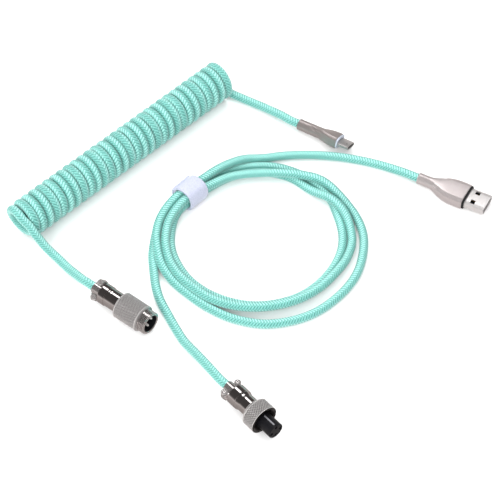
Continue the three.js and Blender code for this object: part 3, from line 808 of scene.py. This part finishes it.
keyboard_route = [*KEYBOARD_LEAD, *coil_route(), *USB_C_LEAD]
keyboard_line = smooth_route(route_between(MALE, keyboard_route, USB_C, USB_C_LENGTH))
keyboard_cord = make_cord("keyboard_cord", keyboard_line, "keyboard_lead", "coil", "usb_c_lead")
host_route = [*HOST_LEAD, *polar(FIRST_TURN + SECOND_TURN + THIRD_TURN), *USB_A_LEAD]
host_line = settled(smooth_route(route_between(FEMALE, host_route, USB_A, USB_A_LENGTH)))
host_cord = make_cord("host_cord", host_line, "host_lead", "loops", "usb_a_lead")


# ---------- the floor and the light

def make_floor():
    floor = make_object("floor", box(-2, 2, -2, 2, -0.02, 0))
    material, _, shader = new_material("floor")
    shader.inputs["Base Color"].default_value = (0.9, 0.9, 0.9, 1)
    shader.inputs["Roughness"].default_value = 0.9
    shader.inputs["Specular IOR Level"].default_value = 0.1
    floor.data.materials.append(material)
    floor.visible_glossy = False


def area_light(name, at, size, power):
    """A broad light aimed at the cable. It lights it but isn't mirrored in the chrome."""
    data = bpy.data.lights.new(name, "AREA")
    data.shape = "RECTANGLE"
    data.size, data.size_y = size
    data.energy = power
    light = add_object(name, data)
    light.location = at
    light.rotation_euler = (-Vector(at)).to_track_quat("-Z", "Y").to_euler()
    light.visible_glossy = False


SOFTBOX = Vector((-0.07, 0.575, 0.815)).normalized()
SOFTBOX_EDGE = (10, 7.5)  # degrees from its middle where it fades out and where it is full
SOFTBOX_GLOW = 4


def make_world():
    """A dim room with a pale horizon, a brownish base and one round softbox, for the metal."""
    world = bpy.data.worlds.new("studio")
    world.use_nodes = True
    tree = world.node_tree
    background = tree.nodes["Background"]
    direction = tree.nodes.new("ShaderNodeTexCoord").outputs["Generated"]
    height = tree.nodes.new("ShaderNodeSeparateXYZ")
    tree.links.new(direction, height.inputs[0])
    room = ramp(
        tree, math_node(tree, "MULTIPLY_ADD", height.outputs["Z"], 0.5, 0.5),
        (0.0, (0.42, 0.385, 0.375)), (0.42, (0.62, 0.575, 0.56)), (0.5, (0.82, 0.78, 0.765)),
        (0.56, (0.40, 0.38, 0.37)), (0.65, (0.10, 0.093, 0.092)), (1.0, (0.075, 0.07, 0.07)),
    )
    towards = node(tree, "ShaderNodeVectorMath", operation="DOT_PRODUCT")
    tree.links.new(direction, towards.inputs[0])
    towards.inputs[1].default_value = SOFTBOX
    dark, full = (math.cos(math.radians(angle)) for angle in SOFTBOX_EDGE)
    glow = ramp(tree, towards.outputs["Value"], (dark, grey(0)), (full, grey(1)))
    together = node(tree, "ShaderNodeVectorMath", operation="MULTIPLY_ADD")
    tree.links.new(glow, together.inputs[0])
    together.inputs[1].default_value = grey(SOFTBOX_GLOW)
    tree.links.new(room, together.inputs[2])
    tree.links.new(together.outputs["Vector"], background.inputs["Color"])
    bpy.context.scene.world = world


def make_light():
    area_light("top", (0, 0.1, 1.6), (3.6, 3.6), 60)
    area_light("key", (-0.2, 0.85, 1.4), (1.0, 1.0), 10)
    area_light("front", (-0.3, -1.6, 1.1), (2.4, 1.2), 44)
    area_light("left", (-1.6, 0.2, 1.0), (2.4, 1.2), 14)


make_floor()
make_world()
make_light()
bpy.context.scene.view_settings.view_transform = "Standard"


# ---------- shared connector parts

def knurl(count, pitch, depth, x0, x1):
    """A diamond knurl between x0 and x1, as a change of radius."""
    def radius_at(x, radii, angles):
        if not x0 <= x <= x1:
            return radii
        fade = min(1.0, (x - x0) / 0.4, (x1 - x) / 0.4)
        around = count * angles / math.tau
        a = np.abs((around + x / pitch) % 1 - 0.5) * 2
        b = np.abs((around - x / pitch) % 1 - 0.5) * 2
        return radii - depth * fade * (1 - np.minimum(a, b)) ** 1.3
    return radius_at


def mark_relief(obj, start, end, low, high):
    """Stores how high each point stands between two radii in a knurl or thread, from 0 to 1, and
    about halfway where it is plain. The relief metals paint shade in the grooves and a
    highlight on the crests from it."""
    points = np.array([tuple(vertex.co) for vertex in obj.data.vertices])
    radii = np.hypot(points[:, 1], points[:, 2])
    relief = np.full(len(points), PLAIN_RELIEF)
    inside = (points[:, 0] >= start) & (points[:, 0] <= end)
    inside &= (radii > low - 0.05) & (radii < high + 0.05)
    relief[inside] = np.clip((radii[inside] - low) / (high - low), 0, 1)
    layer = obj.data.attributes.new("relief", "FLOAT", "POINT")
    layer.data.foreach_set("value", relief.astype(np.float32))


def round_ears(obj, half_width):
    """Rounds a clamp half's ears, seen from above."""
    length = REAR_FLANGE + 0.5 - CLAMP_END
    y, x = section(2 * half_width, length, EAR_ROUND)
    prism = extruded(list(zip(y, x)), -8, 8)
    combine(obj, upright(prism, CLAMP_END + length / 2, 0), "INTERSECT")


def rolled(obj, roll):
    obj.data.transform(Matrix.Rotation(math.radians(roll), 4, "X"))


def clamp_angles(ear, arch):
    """Where a clamp half's ears meet its arch, and where its cord way begins, in degrees."""
    return math.degrees(math.asin(ear / arch)), math.degrees(math.asin(CLAMP_GAP / CORD_WAY))


def lower_clamp(half_width):
    """The trough under the cord, with an ear on each side, as a (y, z) outline drawn along X."""
    reach, inside = clamp_angles(-EAR_BOTTOM, LOWER_ARCH)
    outline = [(half_width, -CLAMP_GAP), (half_width, EAR_BOTTOM)]
    outline += arc(LOWER_ARCH, -reach, -180 + reach)
    outline += [(-half_width, EAR_BOTTOM), (-half_width, -CLAMP_GAP)]
    outline += arc(CORD_WAY, 180 + inside, 360 - inside)
    return extruded(outline, CLAMP_END, REAR_FLANGE + 0.5)


def upper_clamp(half_width):
    reach, inside = clamp_angles(EAR_TOP, UPPER_ARCH)
    outline = [(-half_width, CLAMP_GAP), (-half_width, EAR_TOP)]
    outline += arc(UPPER_ARCH, 180 - reach, reach)
    outline += [(half_width, EAR_TOP), (half_width, CLAMP_GAP)]
    outline += arc(CORD_WAY, inside, 180 - inside)
    return extruded(outline, CLAMP_END, NECK - 0.1)


def make_rear(side, place, body, outline, half_width, roll, grub_z):
    """The barrel, the clamp with its screws, and the grub screw of one aviator connector."""
    front = outline[-1][0]
    profile = [(NECK, CORD_WAY), (NECK, NECK_RADIUS), (REAR_FLANGE, NECK_RADIUS)]
    profile += [*outline, (front, 4.15), (-10.8, 4.15), (-10.8, CORD_WAY)]
    barrel = make_object(f"{side}_barrel_body", revolved(finely(eased(profile, 0.18), 0.4), 128))
    cut(barrel, upright(rod(GRUB_RADIUS + 0.2, 3.0, 7.0), GRUB_X, 0))
    finish_piece(barrel, place, CHROME, body, "chrome", [f"{side}_barrel"], 25)
    halves = (
        ("clamp_trough", lower_clamp(half_width), []),
        ("saddle", upper_clamp(half_width), [f"{side}_clamp_saddle"]),
    )
    for name, shape, nodes in halves:
        half = make_object(f"{side}_{name}", shape)
        round_ears(half, half_width)
        bevelled(half, 0.2, 3)
        rolled(half, roll)
        finish_piece(half, place, SATIN, body, "chrome", nodes, 25)
    for number, y in ((1, -SCREW_Y), (2, SCREW_Y)):
        screw = make_screw(f"{side}_screw_{number}", y)
        rolled(screw, roll)
        finish_piece(screw, place, SCREW, body, "steel_screw", [f"{side}_clamp_screw_{number}"])
    bottom = grub_z - 1.4
    grub = [(bottom, 0), (bottom, GRUB_RADIUS), (grub_z, GRUB_RADIUS), (grub_z, 0)]
    grub = make_object(f"{side}_grub", upright(revolved(eased(grub, 0.12), 32), GRUB_X, 0))
    cut(grub, box(GRUB_X - 1, GRUB_X + 1, -0.16, 0.16, grub_z - 0.4, grub_z + 1))
    finish_piece(grub, place, SCREW, body, "steel_screw", [f"{side}_grub_screw"])


def join_into(target, other):
    """Adds another object's mesh to the target's, and removes the other object."""
    both = bmesh.new()
    both.from_mesh(target.data)
    both.from_mesh(other.data)
    both.to_mesh(target.data)
    both.free()
    bpy.data.objects.remove(other)


def make_screw(name, y):
    """A clamp screw: a domed head with a cross slot on a threaded shank."""
    under, top = EAR_TOP + 0.02, EAR_TOP + 1.3
    head = [(under, 0), (under, 1.7), (top - 0.55, 1.7), (top - 0.2, 1.45), (top, 0.85), (top, 0)]
    screw = make_object(name, upright(revolved(eased(head, 0.12), 48), SCREW_X, y))
    for dx, dy in ((1.3, 0.3), (0.3, 1.3)):
        cut(screw, box(SCREW_X - dx, SCREW_X + dx, y - dy, y + dy, top - 0.8, top + 1))
    threads = [(EAR_BOTTOM + 0.4, 0)]
    for i in range(10):
        x = EAR_BOTTOM + 0.4 + i * 0.35
        threads += [(x, 0.72), (x + 0.17, 0.88)]
    threads += [(under, 0.72), (under, 0)]
    shank = make_object("shank", upright(revolved(threads, 24), SCREW_X, y))
    join_into(screw, shank)
    return screw


def contact_places():
    """The four contacts' (y, z) places, a quarter turn apart."""
    angles = [quarter * math.pi / 2 for quarter in range(4)]
    return [(CONTACT_CIRCLE * math.cos(a), CONTACT_CIRCLE * math.sin(a)) for a in angles]


def contact_holes(radius, x0, x1):
    return [rod(radius, x0, x1, y, z) for y, z in contact_places()]


def make_contacts(name, node_name, shape, place, material, body):
    for number, (y, z) in enumerate(contact_places(), 1):
        make_piece(
            f"{name}_{number}", moved(shape, y, z), place, material, body, "gold_contact",
            [f"{node_name}_{number}"],
        )


# ---------- male aviator connector

def make_male():
    body = "keyboard_half"
    outline = [
        (REAR_FLANGE, REAR_RADIUS), (-8.0, REAR_RADIUS), (-8.0, 5.05), (-7.8, 4.95),
        (-7.7, 5.0), (3.2, 5.0),
    ]
    make_rear("male", MALE, body, outline, 5.6, 45, 4.95)
    outside = [(0, 5.2), (0, 6.55), (0.35, 6.9)]
    outside += [(x, 6.95) for x in np.arange(0.45, 13.9, 0.15)]
    outside += [(13.95, 6.9), (14.15, 6.7), (14.3, 6.4), (14.3, 4.65), (3.5, 4.65), (3.5, 5.2)]
    diamonds = knurl(KNURLS, 1.15, 0.3, 0.5, 13.85)
    shell = make_object("male_shell", revolved(outside, KNURL_SEGMENTS, diamonds))
    mark_relief(shell, 0.5, 13.85, 6.65, 6.95)
    finish_piece(shell, MALE, KNURLED, body, "knurled_chrome", ["male_front_shell"], 50)
    nose = [(14.35, 4.65), (14.35, 5.5), (14.8, 5.5), (14.9, 5.95), (15.4, 5.95)]
    for ring in range(4):
        x = 15.5 + ring * 0.8
        nose += [(x, 5.5), (x + 0.1, 5.5), (x + 0.38, 5.97), (x + 0.5, 5.97), (x + 0.75, 5.5)]
    nose += [(18.72, 5.7), (18.82, 5.7), (18.9, 5.5), (18.9, 4.8), (18.75, 4.65)]
    nose = make_object("male_nose", revolved(finely(nose, 0.12), 160))
    mark_relief(nose, 15.45, 18.75, 5.55, 5.9)
    finish_piece(nose, MALE, THREADED, body, "chrome", [], 30)
    # The cup's solid base is the insulator; its thin wall runs on to the nose's front as a black
    # lining, painted shade inside the nose.
    cup = [(4.2, 0), (4.2, 4.45), (4.8, 4.58), (18.6, 4.58), (18.6, 4.25), (12.4, 4.25), (12.4, 0)]
    insulator_and_shade_lining = make_object("male_insulator_and_shade_lining", revolved(eased(cup, 0.1), 96))
    cut(insulator_and_shade_lining, box(8.4, 12.6, -0.8, 0.8, 3.8, 4.2), *contact_holes(0.85, 11.4, 14))
    finish_piece(insulator_and_shade_lining, MALE, BLACK, body, "black_insulator", ["male_insulator"])
    tip = [(0.5, 0), (0.5, 0.62), (16.7, 0.62), (17.1, 0.52), (17.33, 0.3), (17.4, 0)]
    pin = revolved(eased(tip, 0.06), 32)
    make_contacts("male_contact", "male_pin", pin, MALE, PIN, body)


# ---------- female aviator connector

def make_female():
    body = "host_half"
    outline = [
        (REAR_FLANGE, REAR_RADIUS), (-7.4, REAR_RADIUS), (-7.3, 5.15), (-7.1, 5.15),
        (-7.0, 5.3), (-6.6, 5.3), (-4.7, 4.7), (2.3, 4.7),
    ]
    make_rear("female", FEMALE, body, outline, 5.75, 0, 4.9)
    outside = [(0, 5.05), (0, 5.4), (0.9, 5.7), (1.1, 6.6), (1.5, 7.1)]
    outside += [(x, 7.5) for x in np.arange(1.9, 8.5, 0.15)]
    outside += [(8.6, 7.42), (8.65, 6.55), (1.8, 6.55), (1.8, 5.05)]
    diamonds = knurl(KNURLS, 1.5, 0.32, 1.85, 8.5)
    nut = make_object("coupling_nut_knurled", revolved(outside, KNURL_SEGMENTS, diamonds))
    mark_relief(nut, 1.85, 8.6, 7.18, 7.5)
    finish_piece(nut, FEMALE, KNURLED, "coupling_nut", "knurled_chrome", ["female_coupling_nut"], 50)
    thread = [(1.85, 6.1), (1.85, 6.52), (8.62, 6.52), (8.62, 7.36), (8.8, 7.34), (9.0, 7.1)]
    thread += [(9.0, 6.8), (8.8, 6.6)]
    for ring in range(8):
        x = 8.4 - ring * 0.8
        thread += [(x + 0.15, 6.05), (x, 6.05), (x - 0.25, 6.42), (x - 0.4, 6.42)]
    # The mouth and its threads are drawn near-black as painted shade inside the bore.
    mouth = make_object("coupling_nut_mouth", revolved(thread, 160))
    finish_piece(mouth, FEMALE, SHADED, "coupling_nut", "knurled_chrome", [], 30)
    plug = [(-3, 0), (-3, 3.85), (2.6, 3.85), (2.6, 5.6), (4.2, 5.6), (4.2, 4.05)]
    plug += [(16.9, 4.05), (16.9, 0)]
    insert = make_object("female_insert_body", revolved(eased(plug, 0.2), 96))
    cut(insert, box(8.4, 18, -0.5, 0.5, 3.62, 6), *contact_holes(0.9, 12.0, 18))
    finish_piece(insert, FEMALE, BLACK, body, "black_insulator", ["female_insert"])
    key = box(8.6, 15.6, -0.42, 0.42, 3.5, 3.85)
    make_piece("female_key_strip", key, FEMALE, KEY, body, "black_insulator", [], bevel=0.08)
    socket = [(12.5, 0.3), (12.5, 0.72), (15.3, 0.72), (15.4, 0.6), (15.4, 0.42), (15.2, 0.3)]
    make_contacts(
        "female_contact", "female_socket", revolved(socket, 24), FEMALE, GOLD, body
    )


# ---------- the USB plugs

def blend_stations(stations, x):
    """The width, height, corner and twist at x, eased between rows that start with their x."""
    table = np.array(stations, float)
    i = int(np.clip(np.searchsorted(table[:, 0], x) - 1, 0, len(table) - 2))
    t = np.clip((x - table[i, 0]) / (table[i + 1, 0] - table[i, 0]), 0, 1)
    before, after = table[max(i - 1, 0)], table[min(i + 2, len(table) - 1)]
    row, following = table[i], table[i + 1]
    slope = (following - before) / (following[0] - before[0])
    next_slope = (after - row) / (after[0] - row[0])
    span = following[0] - row[0]
    value = (
        (2 * t ** 3 - 3 * t ** 2 + 1) * row + (t ** 3 - 2 * t ** 2 + t) * span * slope
        + (3 * t ** 2 - 2 * t ** 3) * following + (t ** 3 - t ** 2) * span * next_slope
    )
    return value[1:]


def plug_housing(stations, length, mouth, scoop, around=160, step=0.22):
    """A plug's metal housing: its outside, its front rim and mouth, its rear rim and cord hole."""
    rings = []
    for x in np.linspace(-length + EDGE, -EDGE, int(length / step)):
        width, height, corner, twist = blend_stations(stations, x)
        points = ring_at(x, width, height, corner, around, twist)
        angle = np.degrees(np.arctan2(points[:, 2], points[:, 1])) % 360
        inward = scoop(x, angle)[:, None]
        rings.append(points - np.column_stack([np.zeros(around), points[:, 1:]]) * inward)

    def rim(x, size, less, corner):
        trim = 2 * EDGE * less
        rings.append(ring_at(x, size[0] - trim, size[1] - trim, corner - EDGE * less, around))

    front = blend_stations(stations, 0)
    for along, less in ((0.7, 0.12), (1.0, 0.45)):
        rim(-EDGE * (1 - along), front, less, front[2])
    for x in (0, -2.5):
        rings.append(ring_at(x, *mouth, around))
    for x in (-length + 6, -length):
        rings.append(ring_at(x, 2 * CORD_HOLE, 2 * CORD_HOLE, CORD_HOLE * 0.99, around))
    rear = blend_stations(stations, -length)
    trim = 2 * EDGE * 0.5
    inner_corner = (rear[0] - EDGE) / 2 * 0.99
    rings.append(ring_at(-length, rear[0] - trim, rear[1] - trim, inner_corner, around))
    rim(-length + EDGE * 0.3, rear, 0.12, rear[0] / 2 * 0.99)
    return skinned(rings)


def tube_shell(width, height, corner, sheet, rear, front):
    """A folded sheet-metal tube with a rolled front lip."""
    def ring(x, inset):
        round_by = max(corner - inset, 0.12)
        return ring_at(x, width - 2 * inset, height - 2 * inset, round_by, 128)

    lip = 0.12
    return skinned([
        ring(rear, 0), ring(front - lip, 0), ring(front - 0.03, lip * 0.3), ring(front, lip),
        ring(front - 0.03, sheet - 0.02), ring(front - lip, sheet), ring(rear, sheet),
    ])


def pressed(x, angle, middle, half_angle, steepness, centre, half_length, depth):
    """How far a slanted crease presses a housing in, at x and at angles round it in degrees."""
    off = (angle - middle + 180) % 360 - 180
    across = np.clip(1 - np.abs(off) / half_angle, 0, 1)
    lengthways = np.clip(1 - abs(x - centre) / half_length, 0, 1)
    return depth * np.minimum(across * steepness, 1) * min(lengthways * 2, 1)


def piece_maker(place, body, nodes):
    """A function that makes one plug's pieces, each for the node of the given name."""
    def piece(name, node_name, shape, material, slot, **values):
        stands_for = [nodes + node_name]
        return make_piece(nodes + name, shape, place, material, body, slot, stands_for, **values)
    return piece


def make_usb_c():
    body, nodes = "usb_c_end", "usb_c_"
    piece = piece_maker(USB_C, body, nodes)
    stations = [
        (-24.3, 6.0, 6.0, 2.98, -55), (-16.5, 6.0, 6.0, 2.9, -50), (-12.5, 6.5, 6.1, 2.3, -38),
        (-9.0, 7.7, 6.3, 1.1, -16), (-5.5, 9.1, 6.5, 0.6, -4), (-2.5, 9.55, 6.6, 0.5, 0),
        (0, 9.6, 6.6, 0.5, 0),
    ]

    def scoop(x, angle):
        return pressed(x, angle, 128 + (x + 16.5) * 5.5, 17, 2.5, -13.0, 4.2, 0.09)

    shape = plug_housing(stations, USB_C_LENGTH, (8.9, 5.9, 0.7), scoop)
    housing = piece("housing_body", "housing", shape, CHAMPAGNE_C, "champagne_metal", smooth=24)
    shape = tube_shell(9.1, 6.1, 1.0, 1.55, 0.02, 0.8)
    bezel = piece("bezel_plate", "bezel", shape, PALE, "pale_plastic")
    shape = tube_shell(8.25, 2.4, 1.18, SHEET, -3, 7.2)
    shell = piece("shell_tube", "shell", shape, NICKEL_C, "nickel", smooth=40)
    carrier = make_object(nodes + "carrier", tube_shell(7.6, 1.75, 0.85, 0.5, -2, 6.6))
    join_into(carrier, make_object("back", box(-2, 1.2, -3.4, 3.4, -0.5, 0.5)))
    finish_piece(carrier, USB_C, BLACK, body, "black_insulator", [nodes + "contact_carrier"])
    shape = box(-11.5, -3.4, -2.4, 2.4, -0.5, 0.5)
    board = piece("board_sheet", "board", shape, BOARD, "circuit_board", bevel=0.1)
    return [housing, bezel, shell, carrier, board]


def make_usb_a():
    body, nodes = "usb_a_end", "usb_a_"
    piece = piece_maker(USB_A, body, nodes)
    stations = [
        (-27.3, 6.0, 6.0, 2.98, 0), (-20.6, 6.0, 6.0, 2.9, 0), (-18, 7.2, 6.1, 2.0, 0),
        (-15, 10.0, 6.3, 1.2, 0), (-12, 12.4, 6.5, 0.75, 0), (-8.5, 14.0, 6.7, 0.6, 0),
        (-4, 14.4, 6.8, 0.6, 0), (0, 14.2, 6.8, 0.6, 0),
    ]

    def scoop(x, angle):
        slant = 38 - (x + 17) * 3
        return sum(
            pressed(x, angle, middle, 14, 2.2, -16.5, 3.2, 0.10) for middle in (180 - slant, slant)
        )

    shape = plug_housing(stations, USB_A_LENGTH, (12.9, 5.5, 0.8), scoop)
    housing = piece("housing_body", "housing", shape, CHAMPAGNE_A, "champagne_metal", smooth=24)
    shape = tube_shell(13.7, 6.3, 1.0, 0.85, 0.02, 1.1)
    gasket = piece("gasket_plate", "gasket", shape, GASKET, "black_gasket")
    shell = make_object(nodes + "shell_tube", tube_shell(12, 4.5, 0.5, SHEET, -6, 11.9))
    for z0, z1 in ((1.5, 4), (-4, -1.5)):
        for y in (-3.3, 3.3):
            cut(shell, box(3.65, 6.15, y - 1.25, y + 1.25, z0, z1))
    groove = revolved([(2.15, 0.5), (2.15, 0.75), (3, 0.75), (3, 0.5)], 32)
    cut(shell, upright(groove, 2.6, 0.3))
    finish_piece(shell, USB_A, NICKEL, body, "nickel", [nodes + "shell"], 40)
    shape = box(-5.5, 10.9, -5.4, 5.4, -1.65, 0.05)
    pieces = [housing, gasket, shell]
    pieces.append(piece("tongue_bar", "tongue", shape, BLACK, "black_insulator", bevel=0.2))
    for number, y in enumerate((-3.5, -1.0, 1.0, 3.5), 1):
        shape = box(-4, 9.8, y - 0.5, y + 0.5, 0.04, 0.3)
        names = (f"contact_strip_{number}", f"contact_{number}")
        pieces.append(piece(*names, shape, GOLD, "gold_contact", bevel=0.08))
    shape = box(-14, -6.8, -3.5, 3.5, -0.6, 0.6)
    pieces.append(piece("board_sheet", "board", shape, BOARD, "circuit_board", bevel=0.1))
    return pieces


# ---------- the tie

def make_tie():
    """A hook-and-loop strap wrapped a turn and a quarter round the bundle, its end on top."""
    width, thickness, opening, corner = 12.4, 1.3, 10.5, 4.0
    around, across = 220, 26
    turns = 1.22
    rings = []
    for i in range(around):
        part = i / (around - 1)
        angle = math.radians(-60) + part * turns * math.tau
        lift = thickness * min(1.0, max(0.0, (part * turns - 0.93) / 0.07))
        half = opening / 2 + thickness / 2 + lift
        round_by = corner + thickness / 2 + lift
        core = half - round_by
        y = np.clip(math.cos(angle) * 1.35, -1, 1) * core + round_by * math.cos(angle)
        z = np.clip(math.sin(angle) * 1.35, -1, 1) * core + round_by * math.sin(angle)
        outward = np.array([0, math.cos(angle), math.sin(angle)])
        ring = []
        for j in range(across):
            turn = math.tau * j / across
            along = width / 2 * np.clip(math.cos(turn) * 1.15, -1, 1)
            proud = thickness / 2 * np.clip(math.sin(turn) * 1.6, -1, 1)
            fuzz = 0.05 * math.sin(i * 2.1 + j * 1.3) * math.sin(j * 2.9 + i * 0.7)
            ring.append(np.array([along, y, z]) + outward * (proud + fuzz))
        rings.append(ring)
    strap = skinned(rings, closed=False)
    place = (TIE_CENTRE, TIE_HEADING, 0)
    make_piece("tie_strap", strap, place, TIE, "host_half", "tie_fabric", ["cable_tie"], 60)


make_male()
make_female()
usb_c_pieces = make_usb_c()
usb_a_pieces = make_usb_a()
make_tie()

# ---------- the cords' end points, paths and coil ends, worked out, and the cords' meshes baked

tuple(c * MM for c in on_axis(MALE, CLAMP_END))
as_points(declared_path(keyboard_line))
tuple(c * MM for c in on_axis(FEMALE, CLAMP_END))
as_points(declared_path(host_line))
coil_start, coil_end, _, coil_along = coil_axis()
inset = CORD_DIAMETER * coil_along
coil_in, coil_out = tuple((coil_start + inset) * MM), tuple((coil_end - inset) * MM)
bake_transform(keyboard_cord)
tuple(coil_in)
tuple(coil_out)
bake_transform(host_cord)
